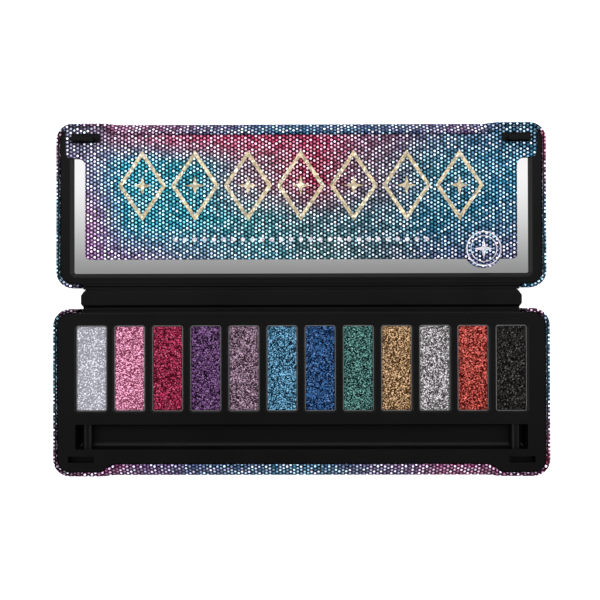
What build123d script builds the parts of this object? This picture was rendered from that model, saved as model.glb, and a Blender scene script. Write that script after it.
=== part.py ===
from build123d import *
from math import asin, degrees
import os

# Twelve-shade eyeshadow palette: two shallow stamped tins joined by a moulded plastic spine
# with two living hinges. It lies open and flat. X runs along the length, Y from the base tin
# towards the lid tin, Z up. The origin is the centre of the base tin's underside.
# All sizes are in millimetres.

# ---- tins ----
length = 203.0             # both tins, end to end
tin_depth = 68.5           # each tin, hinge side to front
base_height = 10.0         # underside to rolled rim
lid_height = 5.0
corner_radius = 7.0
tin_wall = 0.5
bottom_edge_radius = 1.0
rim_width = 1.5            # rolled rim, seen from above
rim_depth = 1.6
rim_round = 0.7
closing_gap = 0.3          # between the two rims when shut

# ---- finger notch along the front of both tins ----
notch_depth = 3.35
notch_flat_half = 75.0
notch_run = 8.0            # length of each S-shaped end
notch_drop = 3.5           # how far down the slanted front reaches
notch_ease = 0.03          # the slanted front stands this far outside the rim

# ---- hinge ----
hinge_drop = 1.6           # lid rim down to the hinge line
web_thickness = 0.35
web_half_gap = 0.5         # hinge line to the start of each stiff part
web_half_length = 90.4
spine_half_length = 91.2
spine_rise = 1.2           # hinge line to the spine's upper face
spine_end_clearance = 1.2  # spine end to the cut in the tin's back wall
spine_corners = ((1.0, 1.6), (1.8, 2.5))   # cut corners: along X, along Y; base side, lid side
ledge_rise = 0.6

# ---- base tray ----
fit = 0.15                 # between the tins and what sits in them
rim_proud = 0.6            # tin rim above the tray's top
land_thickness = 1.2
moulding_wall = 1.0
edge_break = 0.3           # chamfer around the top of both mouldings
overlap = 0.2              # how deep ribs and hooks run into what they grow from
shade_count = 12
shade_pitch = 15.62
well_width = 12.9
well_length = 35.4
well_corner = 1.2
well_depth = 5.0
well_edge = 0.45           # bevel around each opening
well_row_y = 9.8           # centre of the row
push_hole = 3.0            # hole under each pan
trough_half_length = 92.4
trough_back_y = -13.1
trough_front_y = -23.3
trough_depth = 5.6
trough_corner = 0.6
trough_floor_radius = 2.4
cradle_inner_x = 86.0
cradle_width = 4.0
cradle_rise = 3.9          # trough floor to the cradle's top
foot_radius = 2.5
foot_hole = 1.4
foot_from_edge = 4.5
foot_rows = (24.0, 0.0)    # the feet at each end
edge_pad_width = 0.8
edge_pad_rows = (-18.0, -8.0)

# ---- pans ----
pan_clearance = 0.15
pan_height = 3.9
pan_wall = 0.3
pan_foot_round = 0.5
cake_below_rim = 0.1
cake_crown = 0.25
cake_clearance = 0.05
glue_radius = 2.6
glue_height = 0.2

# ---- lid frame, mirror and card ----
lid_rim_proud = 0.8
pad_thickness = 0.3
pad_size = (14.0, 6.0)
pad_columns = (-80.0, -27.0, 27.0, 80.0)
pad_rows = (-24.0, 20.0)
frame_floor = 0.8
tape_thickness = 0.25
tape_width = 8.0
tape_columns = (-70.0, 0.0, 70.0)
tape_from_edge = 4.0
mirror_thickness = 1.2
mirror_half_length = 94.6
mirror_back_y = -28.6      # from the lid's centre, towards the hinge
mirror_front_y = 24.6
mirror_lip = 0.4           # how far the frame's opening covers the mirror's edge
mirror_clearance = 0.2
opening_corner = 0.8
opening_bevel = 1.0        # depth of the flare around the opening
opening_slope = 58.0       # degrees from upright
groove_width = 0.4         # decorative line along the hinge side of both mouldings
groove_depth = 0.2
groove_offset = 1.6
card_thickness = 0.4
card_gap = 0.15            # between the card's front edge and the rim
card_lift = 0.05           # between the card and the frame
card_half_length = 89.4
card_back_y = -22.3
card_corner = 1.8
tab_half_length = 97.7
tab_back_y = 19.8
tab_corner = 2.5
tab_hollow = 3.6           # inside corner between each tab and the card's side
badge_radius = 7.9
badge_x = 75.6
badge_y = -18.2

# ---- latch: hooks on the lid frame, pockets in the tray ----
hook_x = 90.1
hook_y = 27.4              # from the lid's centre, and from the base's centre towards the front
hook_width = 9.4
hook_thickness = 1.1
hook_reach = 4.0           # above the lid's rim
hook_nose = 0.35
nose_heights = (-1.5, -0.8)   # the nose's flat face, from the hook's tip
pocket_width = 10.7
pocket_thickness = 2.6
pocket_tip_clearance = 0.6
catch_size = 0.3
catch_length = 7.5
card_slot_x = 89.3
card_slot_y = 28.0
card_slot_width = 12.0
card_slot_length = 3.9
card_slot_corner = 0.4

# ---- worked out from the sizes above ----
half_length = length / 2
half_depth = tin_depth / 2
hinge_height = lid_height - hinge_drop
spine_span = base_height + lid_height + closing_gap - 2 * hinge_height
lid_centre_y = tin_depth + spine_span
inset = rim_width + fit
tray_top = base_height - rim_proud
lid_land = lid_height - lid_rim_proud
tray_underside = tin_wall + pad_thickness
frame_top_of_floor = tray_underside + frame_floor
mirror_underside = frame_top_of_floor + tape_thickness
cut_half_length = spine_half_length + spine_end_clearance
cut_floor = hinge_height - web_thickness / 2 - spine_end_clearance


def block(x0, x1, y0, y1, z0, z1):
    centre = ((x0 + x1) / 2, (y0 + y1) / 2, (z0 + z1) / 2)
    return Pos(*centre) * Box(x1 - x0, y1 - y0, z1 - z0)


def column(outline, z0, z1):
    return extrude(Pos(0, 0, z0) * outline, amount=z1 - z0, dir=(0, 0, 1))


def plain_outline(inward=0.0):
    """The tin seen from above, without its finger notch."""
    width = length - 2 * inward
    depth = tin_depth - 2 * inward
    return RectangleRounded(width, depth, corner_radius - inward)


def notch_curve(inward=0.0):
    """The front edge from one end of the finger notch to the other: a straight run between
    two S-shaped ends, each made of two equal arcs."""
    floor_y = notch_depth - half_depth
    end_x = notch_flat_half + notch_run
    radius = (notch_run ** 2 + notch_depth ** 2) / (4 * notch_depth)
    turn = degrees(asin(notch_run / (2 * radius)))
    outer = radius + inward
    inner = radius - inward
    right_crest = (notch_flat_half, floor_y - radius)
    left_crest = (-notch_flat_half, floor_y - radius)
    path = Line((-notch_flat_half, floor_y + inward), (notch_flat_half, floor_y + inward))
    path += CenterArc(right_crest, outer, 90 - turn, turn)
    path += CenterArc((end_x, radius - half_depth), inner, 270 - turn, turn)
    path += CenterArc(left_crest, outer, 90, turn)
    path += CenterArc((-end_x, radius - half_depth), inner, 270, turn)
    return path


def notch_outline(inward=0.0):
    """What the finger notch takes off the front, out to well past the tin."""
    edge_y = -half_depth + inward
    end_x = notch_flat_half + notch_run
    outside = edge_y - 2 * notch_depth
    path = notch_curve(inward)
    path += Polyline((-end_x, edge_y), (-end_x, outside), (end_x, outside), (end_x, edge_y))
    return make_face(path)


def rim_outline(inward=0.0):
    """The tin's rolled rim seen from above, moved in by a distance."""
    x = half_length - inward
    y = half_depth - inward
    round_x = half_length - corner_radius
    round_y = half_depth - corner_radius
    corner = corner_radius - inward
    end_x = notch_flat_half + notch_run
    path = notch_curve(inward)
    path += Line((end_x, -y), (round_x, -y))
    path += CenterArc((round_x, -round_y), corner, 270, 90)
    path += Line((x, -round_y), (x, round_y))
    path += CenterArc((round_x, round_y), corner, 0, 90)
    path += Line((round_x, y), (-round_x, y))
    path += CenterArc((-round_x, round_y), corner, 90, 90)
    path += Line((-x, round_y), (-x, -round_y))
    path += CenterArc((-round_x, -round_y), corner, 180, 90)
    path += Line((-round_x, -y), (-end_x, -y))
    return make_face(path)


def slanted_notch(inward, height):
    """The notch swept down and outwards, so that the front leans out to the plain wall."""
    lean = Vector(0, -notch_depth, -notch_drop)
    tool = Pos(0, -notch_ease, height) * notch_outline(inward)
    return extrude(tool, amount=lean.length, dir=lean.normalized())


def tin_shell(height):
    """A tin with its floor at Z 0 and its front towards -Y."""
    wall_top = height - rim_round
    body = column(plain_outline(), 0, wall_top)
    body = fillet(body.edges().group_by(Axis.Z)[0], bottom_edge_radius)
    body -= slanted_notch(0, wall_top)
    cavity = column(plain_outline(tin_wall), tin_wall, wall_top)
    cavity -= slanted_notch(tin_wall, wall_top)
    rim = column(rim_outline() - rim_outline(rim_width), height - rim_depth, height)
    rim = fillet(rim.edges().group_by(Axis.Z)[-1], rim_round)
    back_cut = block(-cut_half_length, cut_half_length, half_depth - rim_width - 0.1,
                     half_depth + 1, cut_floor, height + 1)
    return body - cavity + rim - back_cut


def hinge_ledge(edge_y, wall_y, towards):
    """A ledge from a back wall out to a living hinge at edge_y; towards is +1 or -1 along Y."""
    low = hinge_height - web_thickness / 2
    high = hinge_height + ledge_rise
    bevel = ledge_rise - web_thickness / 2
    lip_y = edge_y - towards * web_half_gap
    section = Polyline((wall_y, low), (lip_y, low), (lip_y, low + web_thickness),
                       (lip_y - towards * bevel, high), (wall_y, high), close=True)
    plane = Plane.YZ.offset(-web_half_length)
    return extrude(plane * make_face(section), amount=2 * web_half_length)


def hinge_web(hinge_y):
    return block(-web_half_length, web_half_length, hinge_y - web_half_gap,
                 hinge_y + web_half_gap, hinge_height - web_thickness / 2,
                 hinge_height + web_thickness / 2)


def shade_x(number):
    return (number - (shade_count - 1) / 2) * shade_pitch


def well_outline(grow=0.0):
    corner = well_corner + grow
    return RectangleRounded(well_width + 2 * grow, well_length + 2 * grow, corner)


def trough_outline(grow=0.0):
    middle_y = (trough_back_y + trough_front_y) / 2
    width = 2 * (trough_half_length + grow)
    depth = trough_back_y - trough_front_y + 2 * grow
    return Pos(0, middle_y) * RectangleRounded(width, depth, trough_corner + grow)


def pocket_floor():
    tip = base_height + closing_gap - hook_reach
    return tip - pocket_tip_clearance


def pocket(side, grow, z0, z1):
    half_w = pocket_width / 2 + grow
    half_t = pocket_thickness / 2 + grow
    x = side * hook_x
    return block(x - half_w, x + half_w, -hook_y - half_t, -hook_y + half_t, z0, z1)


def foot_places():
    """Hollow feet under the tray, between the wells and the outer wall."""
    end_x = half_length - inset - foot_from_edge
    spots = [(side * end_x, y) for side in (-1, 1) for y in foot_rows]
    return spots + [(0.0, (trough_back_y + well_row_y - well_length / 2) / 2)]


def base_tray():
    """The moulded tray: a hollow cover with wells, a trough and latch pockets let into it."""
    underside = tray_top - land_thickness
    shell = column(rim_outline(inset), tray_underside, tray_top)
    shell = chamfer(shell.edges().group_by(Axis.Z)[-1], edge_break)
    tray = shell - column(rim_outline(inset + moulding_wall), tray_underside, underside)
    well_floor = tray_top - well_depth
    for number in range(shade_count):
        place = Pos(shade_x(number), well_row_y)
        tray += column(place * well_outline(moulding_wall), well_floor - moulding_wall, tray_top)
    trough_floor = tray_top - trough_depth
    tray += column(trough_outline(moulding_wall), trough_floor - moulding_wall, tray_top)
    for side in (-1, 1):
        tray += pocket(side, moulding_wall, pocket_floor() - moulding_wall, tray_top)
    for x, y in foot_places():
        tray += Pos(x, y) * column(Circle(foot_radius), tray_underside, tray_top)
        tray -= Pos(x, y) * column(Circle(foot_hole), tray_underside, underside)

    for number in range(shade_count):
        place = Pos(shade_x(number), well_row_y)
        well = column(place * well_outline(), well_floor, tray_top)
        flare = extrude(place * Pos(0, 0, tray_top - well_edge) * well_outline(),
                        amount=well_edge, taper=-45)
        tray -= well + flare
        tray -= place * column(Circle(push_hole / 2), 0, tray_top)
    trough = column(trough_outline(), trough_floor, tray_top)
    long_edges = trough.edges().group_by(Axis.Z)[0].filter_by(Axis.X)
    trough = fillet(long_edges, trough_floor_radius)
    tray -= trough
    for side in (-1, 1):
        tray -= pocket(side, 0, pocket_floor(), tray_top)
        tray += latch_catch(side)
        tray += brush_cradle(side, trough_floor)
    tray -= hinge_side_groove(half_depth - inset, 1, tray_top)
    tray += hinge_ledge(half_depth, half_depth - inset - moulding_wall / 2, 1)
    return tray


def latch_catch(side):
    """A small rounded bead across the pocket's back wall, which the hook's nose snaps under."""
    wall_y = -hook_y + pocket_thickness / 2
    bead = Cylinder(catch_size, catch_length, rotation=(0, 90, 0))
    return Pos(side * hook_x, wall_y, tray_top - land_thickness / 2) * bead


def brush_cradle(side, floor):
    """A cross rib with a rounded top, near each end of the trough."""
    x0 = side * cradle_inner_x
    x1 = side * (cradle_inner_x + cradle_width)
    rib = block(min(x0, x1), max(x0, x1), trough_front_y - overlap, trough_back_y + overlap,
                floor - overlap, floor + cradle_rise)
    top = rib.edges().filter_by(Axis.Y).group_by(Axis.Z)[-1]
    return fillet(top, cradle_width * 0.45)


def pan(number):
    """A pressed metal pan with a rounded foot."""
    floor = tray_top - well_depth + glue_height
    outline = Pos(shade_x(number), well_row_y) * well_outline(-pan_clearance)
    inside = Pos(shade_x(number), well_row_y) * well_outline(-pan_clearance - pan_wall)
    body = column(outline, floor, floor + pan_height)
    body = fillet(body.edges().group_by(Axis.Z)[0], pan_foot_round)
    return body - column(inside, floor + pan_wall, floor + pan_height)


def shade(number):
    """The pressed powder in its pan, with a softly domed top."""
    floor = tray_top - well_depth + glue_height + pan_wall
    top = floor + pan_height - pan_wall - cake_below_rim
    inward = -pan_clearance - pan_wall - cake_clearance
    cake = column(Pos(shade_x(number), well_row_y) * well_outline(inward), floor, top)
    return fillet(cake.edges().group_by(Axis.Z)[-1], cake_crown)


def pan_glue():
    dots = []
    floor = tray_top - well_depth
    for number in range(shade_count):
        for y in (-well_length / 4, well_length / 4):
            spot = Circle(glue_radius)
            dots.append(Pos(shade_x(number), well_row_y + y) * column(spot, floor,
                                                                      floor + glue_height))
    return Compound(children=dots)


def tray_pads():
    """Adhesive pads between the tray's feet and the base tin's floor."""
    pads = []
    for x, y in foot_places():
        pads.append(Pos(x, y) * column(Circle(foot_radius), tin_wall, tray_underside))
    for side in (-1, 1):
        edge = side * (half_length - inset - moulding_wall / 2)
        pads.append(block(edge - edge_pad_width / 2, edge + edge_pad_width / 2,
                          edge_pad_rows[0], edge_pad_rows[1], tin_wall, tray_underside))
    return Compound(children=pads)


def frame_opening():
    """The lid frame's opening seen from above."""
    width = 2 * (mirror_half_length - mirror_lip)
    depth = mirror_front_y - mirror_back_y - 2 * mirror_lip
    middle_y = (mirror_front_y + mirror_back_y) / 2
    return Pos(0, middle_y) * RectangleRounded(width, depth, opening_corner)


def hinge_side_groove(wall_y, towards, top):
    """A shallow line along a moulding's hinge side."""
    y0 = wall_y - towards * groove_offset
    y1 = y0 - towards * groove_width
    return block(-web_half_length, web_half_length, min(y0, y1), max(y0, y1),
                 top - groove_depth, top + 1)


def latch_hook(side):
    """An upright hook with a nose on the face towards the hinge."""
    tip = lid_height + hook_reach
    front = hook_y + hook_thickness / 2
    back = hook_y - hook_thickness / 2
    nose = back - hook_nose
    nose_low, nose_high = nose_heights
    root = lid_land - overlap
    section = Polyline((front, root), (back, root), (back, nose_low - hook_nose + tip),
                       (nose, tip + nose_low), (nose, tip + nose_high), (back + overlap, tip),
                       (front, tip), close=True)
    plane = Plane.YZ.offset(side * hook_x - hook_width / 2)
    return extrude(plane * make_face(section), amount=hook_width)


def lid_frame():
    """The moulded frame, made with its front towards +Y and its centre at Y 0."""
    outline = mirror(rim_outline(inset), about=Plane.XZ)
    frame = column(outline, tray_underside, lid_land)
    frame = chamfer(frame.edges().group_by(Axis.Z)[-1], edge_break)
    seat = block(-mirror_half_length - mirror_clearance, mirror_half_length + mirror_clearance,
                 mirror_back_y - mirror_clearance, mirror_front_y + mirror_clearance,
                 frame_top_of_floor, mirror_underside + mirror_thickness + card_lift)
    frame -= seat
    frame -= column(frame_opening(), frame_top_of_floor, lid_land + 1)
    flare_start = Pos(0, 0, lid_land - opening_bevel)
    frame -= extrude(flare_start * frame_opening(), amount=opening_bevel, taper=-opening_slope)
    frame -= hinge_side_groove(-half_depth + inset, -1, lid_land)
    for side in (-1, 1):
        frame += latch_hook(side)
    frame += hinge_ledge(-half_depth, -half_depth + inset + moulding_wall / 2, -1)
    return Pos(0, lid_centre_y, 0) * frame


def mirror_glass():
    return block(-mirror_half_length, mirror_half_length, lid_centre_y + mirror_back_y,
                 lid_centre_y + mirror_front_y, mirror_underside,
                 mirror_underside + mirror_thickness)


def mirror_tape():
    strips = []
    back = lid_centre_y + mirror_back_y + tape_from_edge
    front = lid_centre_y + mirror_front_y - tape_from_edge
    for x in tape_columns:
        strips.append(block(x - tape_width / 2, x + tape_width / 2, back, front,
                            frame_top_of_floor, mirror_underside))
    return Compound(children=strips)


def lid_pads():
    pads = []
    for x in pad_columns:
        for y in pad_rows:
            half_x = pad_size[0] / 2
            half_y = pad_size[1] / 2
            middle = lid_centre_y + y
            pads.append(block(x - half_x, x + half_x, middle - half_y, middle + half_y,
                              tin_wall, tray_underside))
    return Compound(children=pads)


def display_card():
    """A printed card laid over the mirror and hung on the two hooks by its corner tabs.
    Its front edge follows the tin's rim; the round badge reaches past its back edge."""
    far_y = half_depth
    body = Pos(0, (far_y + card_back_y) / 2) * Rectangle(2 * card_half_length,
                                                         far_y - card_back_y)
    tabs = Pos(0, (far_y + tab_back_y) / 2) * Rectangle(2 * tab_half_length, far_y - tab_back_y)
    sheet = body + tabs
    rows = sheet.vertices().group_by(Axis.Y)
    back_corners = rows[0]
    inner_corners = rows[1].sort_by(Axis.X)[1:-1]
    outer_corners = rows[1].sort_by(Axis.X)[0:1] + rows[1].sort_by(Axis.X)[-1:]
    sheet = fillet(inner_corners, tab_hollow)
    sheet = fillet(nearest(sheet, outer_corners), tab_corner)
    sheet = fillet(nearest(sheet, back_corners), card_corner)
    sheet = sheet & mirror(rim_outline(inset + card_gap), about=Plane.XZ)
    sheet += Pos(badge_x, badge_y) * Circle(badge_radius)
    for side in (-1, 1):
        slot = RectangleRounded(card_slot_width, card_slot_length, card_slot_corner)
        sheet -= Pos(side * card_slot_x, card_slot_y) * slot
    bottom = lid_land + card_lift
    return Pos(0, lid_centre_y, 0) * column(sheet, bottom, bottom + card_thickness)


def nearest(sheet, wanted):
    """The sheet's own corners at the places of some wanted ones."""
    places = [(corner.X, corner.Y) for corner in wanted]
    return [v for v in sheet.vertices()
            if any(abs(v.X - x) + abs(v.Y - y) < 0.01 for x, y in places)]


def hinge_spine():
    """The flat plate between the two hinges, thinned at both long edges."""
    y0 = half_depth + web_half_gap
    y1 = half_depth + spine_span - web_half_gap
    low = hinge_height - web_thickness / 2
    lip = hinge_height + web_thickness / 2
    high = hinge_height + spine_rise
    bevel = high - lip
    section = Polyline((y0, low), (y1, low), (y1, lip), (y1 - bevel, high),
                       (y0 + bevel, high), (y0, lip), close=True)
    plane = Plane.YZ.offset(-spine_half_length)
    plate = extrude(plane * make_face(section), amount=2 * spine_half_length)
    for edge_y, towards, (cut_x, cut_y) in ((y0, 1, spine_corners[0]), (y1, -1, spine_corners[1])):
        for side in (-1, 1):
            corner = Polyline((side * (spine_half_length - cut_x), edge_y),
                              (side * (spine_half_length + 1), edge_y - towards * 0.01),
                              (side * (spine_half_length + 1), edge_y + towards * cut_y),
                              (side * spine_half_length, edge_y + towards * cut_y), close=True)
            plate -= column(make_face(corner), low - 1, high + 1)
    return plate


def lid_shell():
    return Pos(0, lid_centre_y, 0) * mirror(tin_shell(lid_height), about=Plane.XZ)


os.makedirs("parts", exist_ok=True)


def save(name, shape):
    export_step(shape, os.path.join("parts", name + ".step"))


save("base_shell", tin_shell(base_height))
save("base_tray", base_tray())
save("tray_pads", tray_pads())
save("pan_glue", pan_glue())
for number in range(shade_count):
    save(f"pan_{number + 1:02d}", pan(number))
    save(f"shade_{number + 1:02d}", shade(number))
save("base_hinge_web", hinge_web(half_depth))
save("hinge_spine", hinge_spine())
save("lid_hinge_web", hinge_web(half_depth + spine_span))
save("lid_shell", lid_shell())
save("lid_frame", lid_frame())
save("lid_pads", lid_pads())
save("mirror_tape", mirror_tape())
save("mirror_glass", mirror_glass())
save("display_card", display_card())
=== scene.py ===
from math import cos, sin

import bpy
from mathutils import Matrix, Vector


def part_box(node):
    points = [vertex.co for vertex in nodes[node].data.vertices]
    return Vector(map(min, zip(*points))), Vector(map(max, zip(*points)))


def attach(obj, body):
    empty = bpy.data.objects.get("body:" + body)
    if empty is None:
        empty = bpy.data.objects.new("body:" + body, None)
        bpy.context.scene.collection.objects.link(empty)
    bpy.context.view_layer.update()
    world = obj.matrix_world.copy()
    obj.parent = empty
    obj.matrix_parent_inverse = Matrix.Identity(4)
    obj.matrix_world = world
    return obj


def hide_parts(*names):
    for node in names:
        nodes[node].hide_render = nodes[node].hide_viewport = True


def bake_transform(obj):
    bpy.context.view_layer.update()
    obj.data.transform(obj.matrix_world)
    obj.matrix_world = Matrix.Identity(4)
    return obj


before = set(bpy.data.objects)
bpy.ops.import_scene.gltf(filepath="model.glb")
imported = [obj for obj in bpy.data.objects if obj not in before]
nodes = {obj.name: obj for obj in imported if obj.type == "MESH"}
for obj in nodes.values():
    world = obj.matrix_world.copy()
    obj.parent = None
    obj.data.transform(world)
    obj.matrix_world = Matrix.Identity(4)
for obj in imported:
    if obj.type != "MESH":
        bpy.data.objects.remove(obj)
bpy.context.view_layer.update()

MM = 0.001
scene = bpy.context.scene


# ---------------------------------------------------------------------------------------
# Helpers for the shaders.
# ---------------------------------------------------------------------------------------

class Value:
    """One socket of a node tree. Arithmetic on it adds Math nodes to that tree."""

    def __init__(self, tree, socket):
        self.tree = tree
        self.socket = socket

    def maths(self, operation, *others, first=None):
        node = self.tree.nodes.new("ShaderNodeMath")
        node.operation = operation
        for slot, term in enumerate((self if first is None else first, *others)):
            if isinstance(term, Value):
                self.tree.links.new(term.socket, node.inputs[slot])
            else:
                node.inputs[slot].default_value = term
        return Value(self.tree, node.outputs[0])

    def __add__(self, other):
        return self.maths("ADD", other)

    def __sub__(self, other):
        return self.maths("SUBTRACT", other)

    def __rsub__(self, other):
        return self.maths("SUBTRACT", self, first=other)

    def __mul__(self, other):
        return self.maths("MULTIPLY", other)

    def __truediv__(self, other):
        return self.maths("DIVIDE", other)

    def __rtruediv__(self, other):
        return self.maths("DIVIDE", self, first=other)

    def __pow__(self, other):
        return self.maths("POWER", other)

    __radd__ = __add__
    __rmul__ = __mul__

    def least(self, other):
        return self.maths("MINIMUM", other)

    def most(self, other):
        return self.maths("MAXIMUM", other)

    def above(self, other):
        return self.maths("GREATER_THAN", other)

    def size(self):
        return self.maths("ABSOLUTE")

    def part(self):
        return self.maths("FRACT")

    def whole(self):
        return self.maths("FLOOR")

    def root(self):
        return self.maths("SQRT")

    def clamped(self):
        return self.most(0.0).least(1.0)

    def between(self, low, high):
        """0 below low, 1 above high, and a smooth step from one to the other."""
        t = ((self - low) / (high - low)).clamped()
        return t * t * (3.0 - 2.0 * t)


class Tree:
    """A node tree that is filled through one method."""

    def __init__(self, owner):
        owner.use_nodes = True
        self.tree = owner.node_tree
        self.tree.nodes.clear()

    def node(self, kind, settings=None, output=0, stops=None, **sockets):
        """Adds a node: its settings first, then a ramp's stops, then its sockets by name."""
        node = self.tree.nodes.new("ShaderNode" + kind)
        for name, value in (settings or {}).items():
            setattr(node, name, value)
        for number, (place, colour) in enumerate(stops or ()):
            elements = node.color_ramp.elements
            stop = elements[number] if number < 2 else elements.new(place)
            stop.position = place
            stop.color = (*colour, 1.0)
        for name, value in sockets.items():
            label = name.replace("_", " ")
            socket = next(s for s in node.inputs if s.enabled and s.name == label)
            if isinstance(value, Value):
                self.tree.links.new(value.socket, socket)
            elif value is not None:
                socket.default_value = value
        shown = [socket for socket in node.outputs if socket.enabled]
        return Value(self.tree, shown[output]) if shown else None

    def mix(self, factor, a, b):
        """From colour a to colour b."""
        colours = {"data_type": "RGBA", "blend_type": "MIX", "clamp_factor": True}
        a = (*a, 1.0) if isinstance(a, tuple) else a
        b = (*b, 1.0) if isinstance(b, tuple) else b
        return self.node("Mix", colours, Factor=factor, A=a, B=b)

    def brighten(self, colour, by):
        """A colour times a number that varies."""
        colour = (*colour, 1.0) if isinstance(colour, tuple) else colour
        return self.node("VectorMath", {"operation": "SCALE"}, Vector=colour, Scale=by)

    def xyz(self, vector):
        """A vector's three parts."""
        first = self.node("SeparateXYZ", Vector=vector)
        return [Value(self.tree, socket) for socket in first.socket.node.outputs]

    def point(self, x, y, z):
        """A vector made of three parts."""
        return self.node("CombineXYZ", X=x, Y=y, Z=z)


# ---------------------------------------------------------------------------------------
# Studio. The palette lies open on a seamless white sweep and is seen from straight above.
# The light comes from all round, with a dim patch of ceiling over the camera, so that the
# black mouldings stay black and the mirror shades from grey near the hinge to white.
# ---------------------------------------------------------------------------------------

FLOOR_SIZE = 6.0
FLOOR_DROP = 0.0002        # how far the floor lies under the tins
LAMP_AIM = (0.0, 0.04, 0.0)
LAMPS = (                  # name, place, size and power
    ("left", (-0.9, 0.25, 0.55), 0.7, 4.5),
    ("right", (0.9, 0.3, 0.55), 0.7, 4.5),
    ("back", (0.0, 1.1, 0.8), 1.0, 4.0),
)
LENS = 58.82
SENSOR = 36.0
CAMERA_PLACE = (2.65 * MM, 33.41 * MM, 0.410)
CAMERA_LEAN = (-0.00758, 0.01065)
CAMERA_ROLL = 0.0023


def build_sky():
    """White all round, with a dim patch overhead that fades out behind, before and beside."""
    world = bpy.data.worlds.new("studio")
    scene.world = world
    sky = Tree(world)
    x, y, z = sky.xyz(sky.node("TexCoord", output=0))
    rise = z.most(0.05)
    behind = (y / rise - 0.015) / 0.13
    before = (-0.9 - y / rise) / 0.8
    beside = ((x / rise).size() - 0.45) / 0.6
    open_sky = behind.most(before).most(beside).between(0.0, 1.0)
    shade = sky.mix(open_sky, (0.24, 0.24, 0.245), (1.0, 1.0, 1.0))
    background = sky.node("Background", Color=shade, Strength=1.0)
    sky.node("OutputWorld", Surface=background)


def build_floor():
    bpy.ops.mesh.primitive_plane_add(size=FLOOR_SIZE, location=(0, 0, 0))
    floor = bpy.context.object
    floor.name = "floor"
    floor.location.z = -FLOOR_DROP
    paper = bpy.data.materials.new("studio_paper")
    tree = Tree(paper)
    place = tree.node("TexCoord", output=3)
    grain = tree.node("TexNoise", Vector=place, Scale=900.0, Detail=3.0)
    colour = tree.mix(grain, (0.60, 0.60, 0.60), (0.62, 0.62, 0.62))
    glow = tree.mix(grain, (0.98, 0.98, 0.98), (1.0, 1.0, 1.0))
    surface = tree.node("BsdfPrincipled", Base_Color=colour, Roughness=0.9,
                        Emission_Color=glow, Emission_Strength=0.85)
    tree.node("OutputMaterial", Surface=surface)
    floor.data.materials.append(paper)


def build_lamps():
    for name, place, size, power in LAMPS:
        lamp = bpy.data.lights.new(name, "AREA")
        lamp.size = size
        lamp.energy = power
        holder = bpy.data.objects.new(name, lamp)
        scene.collection.objects.link(holder)
        holder.location = place
        aim = Vector(LAMP_AIM) - Vector(place)
        holder.rotation_euler = aim.to_track_quat("-Z", "Y").to_euler()


def build_camera():
    """Straight above the spine, with a long lens, and turned by a fraction of a degree."""
    camera = bpy.data.cameras.new("camera")
    camera.lens = LENS
    camera.sensor_width = SENSOR
    camera.clip_start = 0.01
    holder = bpy.data.objects.new("camera", camera)
    scene.collection.objects.link(holder)
    holder.location = CAMERA_PLACE
    towards = Vector((sin(CAMERA_LEAN[0]), sin(CAMERA_LEAN[1]), -1.0)).normalized()
    holder.matrix_world = Matrix.Translation(holder.location) @ camera_turn(towards)
    scene.camera = holder


def camera_turn(towards):
    """The rotation of a camera that looks along towards, with the picture's top to +Y."""
    top = Vector((sin(CAMERA_ROLL), cos(CAMERA_ROLL), 0.0))
    right = towards.cross(top).normalized()
    up = right.cross(towards)
    return Matrix((right, up, -towards)).transposed().to_4x4()


build_sky()
build_floor()
build_lamps()
build_camera()
scene.view_settings.view_transform = "Standard"


# ---------------------------------------------------------------------------------------
# Tins. Base and lid are stamped from thin tinplate with a rolled rim and a finger notch
# along the front, and wrapped in a film printed with a close pattern of glitter dots.
# The film's colour runs from pink at the ends through purple to blue in the middle.
# ---------------------------------------------------------------------------------------

DOT_PITCH = 1.59           # from one dot to the next across the tin's depth
DOT_ROW = 2.846            # two columns of dots along the length
DOT_RADIUS = 0.43
DOT_SHIFT = 0.22           # how far a dot can stand off the pattern
FILM_FLAKES = 2600.0       # flakes per metre in the film
ROW_SPAN = 210.0           # the length that a row of colours covers
TIN_LOW, TIN_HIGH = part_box("lid_shell")
LID_MIDDLE = (TIN_LOW[1] + TIN_HIGH[1]) / 2
TIN_GAP = 38.0             # between the two tins, in the base's millimetres
END_WALL = 98.6            # where the rounded end walls begin
SIDE_REACH = 26.0          # from a tin's middle to where its side is the front's colour


def object_millimetres(tree):
    """The surface's own place in millimetres: x, y and z."""
    return [axis / MM for axis in tree.xyz(tree.node("TexCoord", output=3))]


def colour_row(tree, x, stops):
    """A colour that changes along the length. Stops are millimetres and colours."""
    places = [((place + ROW_SPAN / 2) / ROW_SPAN, colour) for place, colour in stops]
    ramp = tree.node("ValToRGB", stops=places, Fac=x / ROW_SPAN + 0.5)
    ramp.socket.node.color_ramp.interpolation = "EASE"
    return ramp


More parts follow.
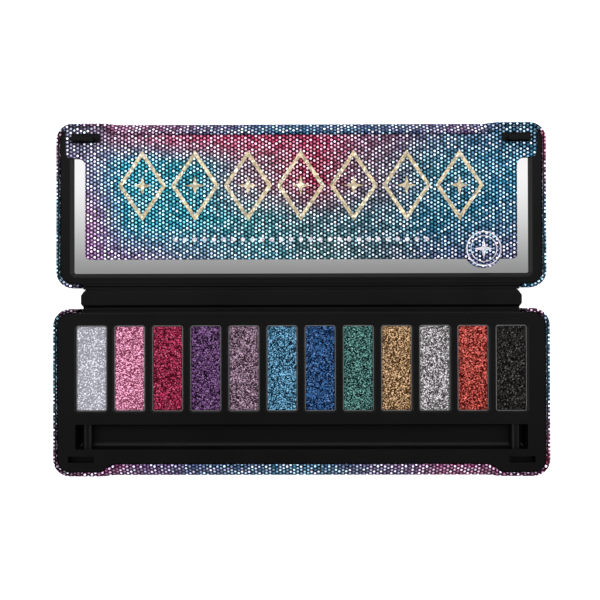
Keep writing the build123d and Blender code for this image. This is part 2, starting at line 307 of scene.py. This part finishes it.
def glitter_dots(tree, u, v):
    """A honeycomb of round dots: how much of a dot is here, and two random values for it."""
    noise = {"noise_dimensions": "3D"}
    halves = []
    for shift, seed in ((0.0, 3.0), (0.5, 71.0)):
        column = u / DOT_ROW + shift
        step = v / DOT_PITCH + shift
        dot_id = tree.point(column.whole(), step.whole(), seed)
        spread = tree.xyz(tree.node("TexWhiteNoise", noise, output=1, Vector=dot_id))
        across = (column.part() - 0.5) * DOT_ROW + (spread[0] - 0.5) * DOT_SHIFT
        along = (step.part() - 0.5) * DOT_PITCH + (spread[1] - 0.5) * DOT_SHIFT
        halves.append(((across * across + along * along).root(), dot_id))
    (near, near_id), (other, other_id) = halves
    chosen = near.above(other)
    reach = near.least(other)
    dot_id = tree.node("Mix", {"data_type": "VECTOR"}, Factor=chosen, A=near_id, B=other_id)
    chance, warmth, _ = tree.xyz(tree.node("TexWhiteNoise", noise, output=1, Vector=dot_id))
    dot = 1.0 - reach.between(DOT_RADIUS - 0.07, DOT_RADIUS + 0.09)
    return dot, chance, warmth


def glitter_film(name, field, flat=False):
    """Printed glitter film: a deep ground with pale printed dots and painted sparkle. field(tree,
    x, y, z) gives its colour at a place."""
    film = bpy.data.materials.new(name)
    tree = Tree(film)
    place = tree.node("TexCoord", output=3)
    x, y, z = object_millimetres(tree)
    u, v = x, y
    if not flat:
        normal = tree.xyz(tree.node("TexCoord", output=1))
        upright = 1.0 - normal[2].size().above(0.25)
        end_wall = normal[0].size().above(normal[1].size()) * upright
        u = x * (1.0 - end_wall) + y * end_wall
        v = y * (1.0 - upright) + z * upright
    dot, chance, warmth = glitter_dots(tree, u, v)
    colour = field(tree, x, y, z)
    flake = tree.node("TexVoronoi", {"feature": "F1"}, output=1, Vector=place,
                      Scale=FILM_FLAKES)
    painted_flicker, painted_shimmer, _ = tree.xyz(flake)
    deep = tree.node("HueSaturation", Saturation=1.25, Color=colour)
    pale = tree.mix(warmth, (0.55, 0.80, 0.90), (0.88, 0.74, 0.90))
    lit = tree.mix(chance * 0.6 + 0.12, tree.brighten(deep, 2.4), pale)
    # Painted sparkle: each dot is made brighter or dimmer at random, dot by dot and flake by
    # flake, over its printed colour.
    lit = tree.brighten(lit, (chance ** 1.5 * 1.7 + 0.42) * (painted_flicker * 0.7 + 0.65))
    # Painted sparkle: a few flakes of the dark ground are lit up.
    ground = tree.brighten(deep, painted_shimmer ** 3.0 * 0.36 + 0.004)
    shown = tree.mix(dot, ground, lit)
    rough = 0.42 - dot * 0.12
    bump = tree.node("Bump", Strength=0.35, Distance=0.00008, Height=dot)
    surface = tree.node("BsdfPrincipled", Base_Color=shown, Roughness=rough, Normal=bump,
                        Specular_IOR_Level=0.06)
    tree.node("OutputMaterial", Surface=surface)
    return film


def tin_field(tree, x, y, z):
    """Pink towards the ends, purple, and a blue middle, with end walls that turn from teal
    near the hinge to purple at the front."""
    base_front = colour_row(tree, x, ((-98, (0.10, 0.03, 0.06)), (-78, (0.28, 0.08, 0.20)),
                                      (-60, (0.18, 0.09, 0.25)), (-40, (0.09, 0.13, 0.27)),
                                      (0, (0.06, 0.19, 0.31)), (40, (0.19, 0.12, 0.25)),
                                      (62, (0.38, 0.11, 0.24)), (90, (0.16, 0.04, 0.10))))
    lid_front = colour_row(tree, x, ((-98, (0.16, 0.16, 0.26)), (-78, (0.34, 0.13, 0.24)),
                                     (-58, (0.20, 0.06, 0.15)), (-38, (0.10, 0.08, 0.19)),
                                     (0, (0.02, 0.12, 0.26)), (38, (0.05, 0.09, 0.20)),
                                     (66, (0.14, 0.08, 0.20)), (90, (0.03, 0.16, 0.27))))
    along = tree.mix(y.above(TIN_GAP), base_front, lid_front)
    lid_side = (y - LID_MIDDLE / MM) / SIDE_REACH
    base_side = -1.0 * y / SIDE_REACH
    towards_front = lid_side.most(base_side).clamped()
    middle = tree.mix(x.above(0.0), (0.03, 0.10, 0.14), (0.12, 0.22, 0.30))
    front = tree.mix(x.above(0.0), (0.12, 0.03, 0.06), (0.34, 0.08, 0.14))
    side = (x.size() - END_WALL).clamped()
    side_colour = tree.mix(towards_front, middle, front)
    return tree.mix(side, along, side_colour)


tin_finish = glitter_film("tin_glitter_film", tin_field)
for name in ("base_shell", "lid_shell"):
    nodes[name].data.materials[0] = tin_finish


# ---------------------------------------------------------------------------------------
# Black moulding. The tray, the spine with its two living hinges and the lid frame with
# its hooks are one injection moulding in black plastic with a fine satin texture.
# ---------------------------------------------------------------------------------------

def moulded_black(name, colour, roughness):
    plastic = bpy.data.materials.new(name)
    tree = Tree(plastic)
    place = tree.node("TexCoord", output=3)
    grain = tree.node("TexNoise", Vector=place, Scale=4200.0, Detail=2.0)
    smudge = tree.node("TexNoise", Vector=place, Scale=38.0, Detail=3.0)
    shade = tree.mix(smudge, tuple(c * 0.8 for c in colour), tuple(c * 1.25 for c in colour))
    rough = roughness + (smudge - 0.5) * 0.16 + (grain - 0.5) * 0.1
    bump = tree.node("Bump", Strength=0.25, Distance=0.00003, Height=grain)
    surface = tree.node("BsdfPrincipled", Base_Color=shade, Roughness=rough, Normal=bump,
                        Specular_IOR_Level=0.14)
    tree.node("OutputMaterial", Surface=surface)
    return plastic


satin_black = moulded_black("satin_black_plastic", (0.0020, 0.0018, 0.0018), 0.36)
for name in ("base_tray", "lid_frame", "hinge_spine"):
    nodes[name].data.materials[0] = satin_black


# ---------------------------------------------------------------------------------------
# Pans and shades. Twelve pressed aluminium pans, each glued into its well and filled with
# pressed powder that is mostly glitter: fine flakes, some in painted shade and some with a painted
# glint.
# ---------------------------------------------------------------------------------------

# Each shade: a name and three flake colours, from painted shade through its own colour to a
# painted highlight; the white shade's run the other way round to temper its brightening.
SHADES = (
    ("lavender_white", (0.78, 0.78, 0.88), (0.82, 0.82, 0.92), (0.66, 0.66, 0.74)),
    ("pink", (0.44, 0.055, 0.145), (0.80, 0.185, 0.36), (1.0, 0.42, 0.64)),
    ("crimson", (0.10, 0.0, 0.004), (0.23, 0.004, 0.030), (0.50, 0.035, 0.115)),
    ("purple", (0.010, 0.0, 0.016), (0.056, 0.013, 0.072), (0.20, 0.088, 0.25)),
    ("mauve", (0.045, 0.018, 0.033), (0.15, 0.082, 0.125), (0.40, 0.26, 0.36)),
    ("sky_blue", (0.0, 0.015, 0.05), (0.008, 0.100, 0.19), (0.15, 0.40, 0.62)),
    ("blue", (0.0, 0.003, 0.036), (0.001, 0.026, 0.115), (0.04, 0.14, 0.36)),
    ("green", (0.0, 0.006, 0.005), (0.006, 0.054, 0.048), (0.11, 0.30, 0.27)),
    ("gold", (0.08, 0.024, 0.004), (0.26, 0.12, 0.040), (0.66, 0.42, 0.22)),
    ("silver", (0.085, 0.078, 0.085), (0.25, 0.245, 0.25), (0.66, 0.63, 0.65)),
    ("red", (0.10, 0.0, 0.0), (0.28, 0.012, 0.008), (0.68, 0.11, 0.085)),
    ("black", (0.0005, 0.0004, 0.0003), (0.0015, 0.0012, 0.0010), (0.026, 0.023, 0.021)),
)


SMALL_FLAKES = 2900.0      # per metre
LARGE_FLAKES = 2400.0


def pressed_glitter(name, dark, middle, bright, seed):
    """Fine flakes, each at its own angle: most middling, some in painted shade, some with a
    painted glint.
    """
    powder = bpy.data.materials.new("shade_" + name)
    tree = Tree(powder)
    place = tree.node("TexCoord", output=3)
    moved = tree.node("Mapping", Vector=place, Location=(seed * 0.013, seed * 0.007, 0.0))
    flakes = {"feature": "F1"}
    small = tree.node("TexVoronoi", flakes, output=1, Vector=moved, Scale=SMALL_FLAKES)
    large = tree.node("TexVoronoi", flakes, output=1, Vector=moved, Scale=LARGE_FLAKES)
    cloud = tree.node("TexNoise", Vector=moved, Scale=150.0, Detail=3.0)
    tilt, tint, _ = tree.xyz(small)
    painted_glint, _, _ = tree.xyz(large)
    # Painted light: the level sets each flake dark, middling or bright, as painted shade and
    # painted highlight for its angle, with a little random tone from the cloud.
    level = tilt * 0.8 + painted_glint * 0.2 + (cloud - 0.5) * 0.15
    colour = tree.node("ValToRGB", stops=((0.36, dark), (0.53, middle), (0.68, bright)), Fac=level)
    # Painted highlight: the flakes with the highest level are brightened further.
    shown = tree.brighten(colour, (level - 0.60).most(0.0) * 3.2 + 0.32)
    # Painted glint: a few large flakes turn to a pale flash colour.
    painted_flash = tuple(c * 1.4 + 0.10 for c in bright)
    shown = tree.mix((painted_glint - 0.88).most(0.0) * 8.0, shown, painted_flash)
    bump = tree.node("Bump", Strength=0.4, Distance=0.0001, Height=tilt)
    surface = tree.node("BsdfPrincipled", Base_Color=shown, Roughness=0.45 + tint * 0.2,
                        Normal=bump, Specular_IOR_Level=0.06)
    tree.node("OutputMaterial", Surface=surface)
    return powder


def pressed_metal():
    metal = bpy.data.materials.new("pan_aluminium")
    tree = Tree(metal)
    place = tree.node("TexCoord", output=3)
    scuff = tree.node("TexNoise", Vector=place, Scale=900.0, Detail=3.0)
    shade = tree.mix(scuff, (0.20, 0.20, 0.205), (0.36, 0.36, 0.365))
    surface = tree.node("BsdfPrincipled", Base_Color=shade, Roughness=0.25 + scuff * 0.2,
                        Metallic=1.0)
    tree.node("OutputMaterial", Surface=surface)
    return metal


aluminium = pressed_metal()
for number, (name, dark, middle, bright) in enumerate(SHADES, 1):
    nodes[f"pan_{number:02d}"].data.materials[0] = aluminium
    powder = pressed_glitter(name, dark, middle, bright, number)
    nodes[f"shade_{number:02d}"].data.materials[0] = powder


# ---------------------------------------------------------------------------------------
# Glue and tape. Hidden: glue dots under the pans, foam pads under the mouldings and tape
# strips behind the mirror.
# ---------------------------------------------------------------------------------------

def soft_adhesive(name, colour):
    adhesive = bpy.data.materials.new(name)
    tree = Tree(adhesive)
    place = tree.node("TexCoord", output=3)
    cells = tree.node("TexNoise", Vector=place, Scale=2500.0, Detail=2.0)
    shade = tree.mix(cells, tuple(c * 0.8 for c in colour), colour)
    surface = tree.node("BsdfPrincipled", Base_Color=shade, Roughness=0.6 + cells * 0.2)
    tree.node("OutputMaterial", Surface=surface)
    return adhesive


foam = soft_adhesive("foam_tape", (0.78, 0.78, 0.74))
hot_glue = soft_adhesive("hot_melt_glue", (0.72, 0.66, 0.50))
for name in ("tray_pads", "lid_pads", "mirror_tape"):
    nodes[name].data.materials[0] = foam
nodes["pan_glue"].data.materials[0] = hot_glue


# ---------------------------------------------------------------------------------------
# Mirror. A plain silvered glass plate under the frame's lips.
# ---------------------------------------------------------------------------------------

def silvered_glass():
    glass = bpy.data.materials.new("silvered_glass")
    tree = Tree(glass)
    place = tree.node("TexCoord", output=3)
    haze = tree.node("TexNoise", Vector=place, Scale=30.0, Detail=3.0)
    shade = tree.mix(haze, (0.90, 0.905, 0.905), (0.94, 0.94, 0.94))
    surface = tree.node("BsdfPrincipled", Base_Color=shade, Roughness=0.02 + haze * 0.02,
                        Metallic=1.0)
    tree.node("OutputMaterial", Surface=surface)
    return glass


nodes["mirror_glass"].data.materials[0] = silvered_glass()


# ---------------------------------------------------------------------------------------
# Display card. Thin board faced with the same glitter film, hung on the two hooks.
# ---------------------------------------------------------------------------------------

def card_field(tree, x, y, z):
    """The card's colours: a red cloud at the front middle, cyan on the left, deep blue on
    the right and a dark teal middle that turns purple at the hinge side."""
    front = colour_row(tree, x, ((-92, (0.26, 0.25, 0.36)), (-68, (0.52, 0.24, 0.36)),
                                 (-48, (0.64, 0.18, 0.28)), (-24, (0.68, 0.15, 0.24)),
                                 (6, (0.58, 0.12, 0.20)), (32, (0.30, 0.15, 0.24)),
                                 (60, (0.12, 0.20, 0.32)), (92, (0.0, 0.12, 0.24))))
    upper = colour_row(tree, x, ((-92, (0.38, 0.34, 0.54)), (-66, (0.0, 0.44, 0.62)),
                                 (-44, (0.10, 0.38, 0.48)), (-22, (0.36, 0.24, 0.30)),
                                 (4, (0.50, 0.10, 0.15)), (28, (0.24, 0.16, 0.22)),
                                 (58, (0.10, 0.27, 0.37)), (92, (0.06, 0.26, 0.44))))
    lower = colour_row(tree, x, ((-92, (0.56, 0.26, 0.50)), (-66, (0.02, 0.42, 0.58)),
                                 (-44, (0.10, 0.42, 0.54)), (-18, (0.12, 0.34, 0.38)),
                                 (4, (0.10, 0.20, 0.24)), (32, (0.10, 0.22, 0.28)),
                                 (60, (0.05, 0.22, 0.35)), (92, (0.10, 0.22, 0.36))))
    back = colour_row(tree, x, ((-92, (0.50, 0.27, 0.54)), (-68, (0.34, 0.28, 0.48)),
                                (-44, (0.24, 0.34, 0.48)), (-18, (0.12, 0.32, 0.40)),
                                (10, (0.12, 0.24, 0.26)), (36, (0.09, 0.15, 0.20)),
                                (62, (0.10, 0.14, 0.27)), (92, (0.16, 0.15, 0.29))))
    height = y - LID_MIDDLE / MM
    shade = tree.mix((height + 21.0) / 14.0, back, lower)
    shade = tree.mix((height + 5.0) / 14.0, shade, upper)
    return tree.mix((height - 17.0) / 10.0, shade, front)


card_finish = glitter_film("card_glitter_film", card_field, flat=True)
nodes["display_card"].data.materials[0] = card_finish


# ---------------------------------------------------------------------------------------
# Card ornament. Hot-stamped foil on the card, a tenth of a millimetre thick: a chain of
# seven open gold lozenges with a sparkle in each, a row of small holographic dots under
# it, and two white rings with a sparkle on the round badge.
# ---------------------------------------------------------------------------------------

FOIL = 0.1 * MM
CARD_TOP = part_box("display_card")[1][2]
STAR_WAIST = 0.3           # a sparkle's inner corners, as a part of its points
LOZENGES = 7
LOZENGE_PITCH = 21.9
LOZENGE_Y = 8.2            # from the lid's middle
LOZENGE_WIDTH = 20.0
LOZENGE_HEIGHT = 29.4
LOZENGE_STROKE = 1.5
SPARKLE_WIDTH = 8.0
DOTS = 27
DOT_STEP = 4.0
DOT_Y = -14.2
DOT_WIDTH = 1.9
BADGE_X = 75.6
BADGE_Y = -18.2
BADGE_RINGS = ((14.6, 0.55), (11.0, 0.35))     # width and stroke


def start_shape(corners, x, y, width, height):
    """A flat face with its corners on an ellipse, lying on the card."""
    bpy.ops.object.select_all(action="DESELECT")
    place = (x * MM, LID_MIDDLE + y * MM, CARD_TOP)
    bpy.ops.mesh.primitive_circle_add(vertices=corners, radius=0.5, fill_type="NGON",
                                      location=place)
    shape = bpy.context.object
    shape.scale = (width * MM, height * MM, 1.0)
    bpy.ops.object.transform_apply(location=True, rotation=True, scale=True)
    return shape


def thicken(thickness):
    """Raises the face being edited into a thin plate."""
    bpy.ops.mesh.select_all(action="SELECT")
    raised = {"value": (0.0, 0.0, thickness)}
    bpy.ops.mesh.extrude_region_move(TRANSFORM_OT_translate=raised)
    bpy.ops.mesh.select_all(action="SELECT")
    bpy.ops.mesh.normals_make_consistent(inside=False)
    bpy.ops.object.mode_set(mode="OBJECT")


def open_shape(corners, x, y, width, height, stroke):
    """An outline: a ring or a lozenge."""
    shape = start_shape(corners, x, y, width, height)
    bpy.ops.object.mode_set(mode="EDIT")
    bpy.ops.mesh.select_all(action="SELECT")
    bpy.ops.mesh.inset(thickness=stroke * MM, use_even_offset=True)
    bpy.ops.mesh.delete(type="FACE")
    thicken(FOIL)
    return shape


def full_shape(corners, x, y, width):
    """A round dot."""
    shape = start_shape(corners, x, y, width, width)
    bpy.ops.object.mode_set(mode="EDIT")
    thicken(FOIL)
    return shape


def sparkle(x, y, width):
    """A star with four points."""
    shape = start_shape(8, x, y, width, width)
    bpy.ops.object.mode_set(mode="EDIT")
    bpy.ops.mesh.select_all(action="DESELECT")
    bpy.ops.object.mode_set(mode="OBJECT")
    for vertex in shape.data.vertices:
        vertex.select = vertex.index % 2 == 1
    bpy.ops.object.mode_set(mode="EDIT")
    bpy.ops.transform.resize(value=(STAR_WAIST, STAR_WAIST, 1.0))
    thicken(FOIL)
    return shape


def joined(name, shapes, finish):
    """Several shapes as one piece, with its origin at the frame's."""
    bpy.ops.object.select_all(action="DESELECT")
    for shape in shapes:
        shape.select_set(True)
    bpy.context.view_layer.objects.active = shapes[0]
    bpy.ops.object.join()
    whole = bpy.context.object
    whole.name = name
    bpy.ops.object.origin_set(type="ORIGIN_CURSOR")
    whole.data.materials.clear()
    whole.data.materials.append(finish)
    return whole


def glitter_foil(name, colours, flakes):
    """Foil broken into flakes, so many per metre, each with a colour of its own and a painted
    sparkle brightness.
    """
    foil = bpy.data.materials.new(name)
    tree = Tree(foil)
    place = tree.node("TexCoord", output=3)
    flake = tree.node("TexVoronoi", {"feature": "F1"}, output=1, Vector=place, Scale=flakes)
    hue, level, _ = tree.xyz(flake)
    stops = [(number / (len(colours) - 1), colour) for number, colour in enumerate(colours)]
    # Painted sparkle: each flake's brightness is set at random in its base colour.
    shade = tree.brighten(tree.node("ValToRGB", stops=stops, Fac=hue), level * 0.9 + 0.5)
    bump = tree.node("Bump", Strength=0.3, Distance=0.00005, Height=level)
    surface = tree.node("BsdfPrincipled", Base_Color=shade, Roughness=0.3 + level * 0.2,
                        Normal=bump)
    tree.node("OutputMaterial", Surface=surface)
    return foil


GOLDS = ((0.34, 0.28, 0.17), (0.58, 0.50, 0.34), (0.56, 0.44, 0.24), (0.82, 0.80, 0.70))
WHITES = ((0.45, 0.62, 0.66), (0.72, 0.70, 0.76), (0.66, 0.52, 0.62), (0.70, 0.74, 0.72))
gold_foil = glitter_foil("gold_glitter_foil", GOLDS, 1100.0)
white_foil = glitter_foil("white_holographic_foil", WHITES, 1500.0)

chain = []
for number in range(LOZENGES):
    x = (number - (LOZENGES - 1) / 2) * LOZENGE_PITCH
    chain.append(open_shape(4, x, LOZENGE_Y, LOZENGE_WIDTH, LOZENGE_HEIGHT, LOZENGE_STROKE))
    chain.append(sparkle(x, LOZENGE_Y, SPARKLE_WIDTH))
gold_chain = joined("gold_lozenges", chain, gold_foil)

dots = []
for number in range(DOTS):
    x = (number - (DOTS - 1) / 2) * DOT_STEP
    dots.append(full_shape(16, x, DOT_Y, DOT_WIDTH))
dot_row = joined("foil_dots", dots, white_foil)

rings = [open_shape(48, BADGE_X, BADGE_Y, width, width, stroke) for width, stroke in BADGE_RINGS]
rings.append(sparkle(BADGE_X, BADGE_Y, SPARKLE_WIDTH))
badge = joined("badge_rings", rings, white_foil)

for piece in (gold_chain, dot_row, badge):
    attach(piece, "lid")


# ---------------------------------------------------------------------------------------
# Living hinges. Two thin webs of the black moulding that bend between the base, the spine
# and the lid.
# ---------------------------------------------------------------------------------------

WEB_COLUMNS = 12
WEB_ROWS = 10


def living_hinge(node):
    """A web as large as the node's, cut into rows across its depth, that takes the node's place.
    """
    low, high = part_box(node)
    width, depth, thickness = [b - a for a, b in zip(low, high)]
    bpy.ops.object.select_all(action="DESELECT")
    bpy.ops.mesh.primitive_grid_add(x_subdivisions=WEB_COLUMNS, y_subdivisions=WEB_ROWS, size=1.0,
                                    location=(0.0, (low[1] + high[1]) / 2, low[2]))
    web = bpy.context.object
    web.name = node + "_bending"
    web.scale = (width, depth, 1.0)
    bpy.ops.object.transform_apply(location=True, rotation=True, scale=True)
    bpy.ops.object.mode_set(mode="EDIT")
    thicken(thickness)
    web.data.materials.append(satin_black)
    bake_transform(web)
    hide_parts(node)


living_hinge("base_hinge_web")
living_hinge("lid_hinge_web")
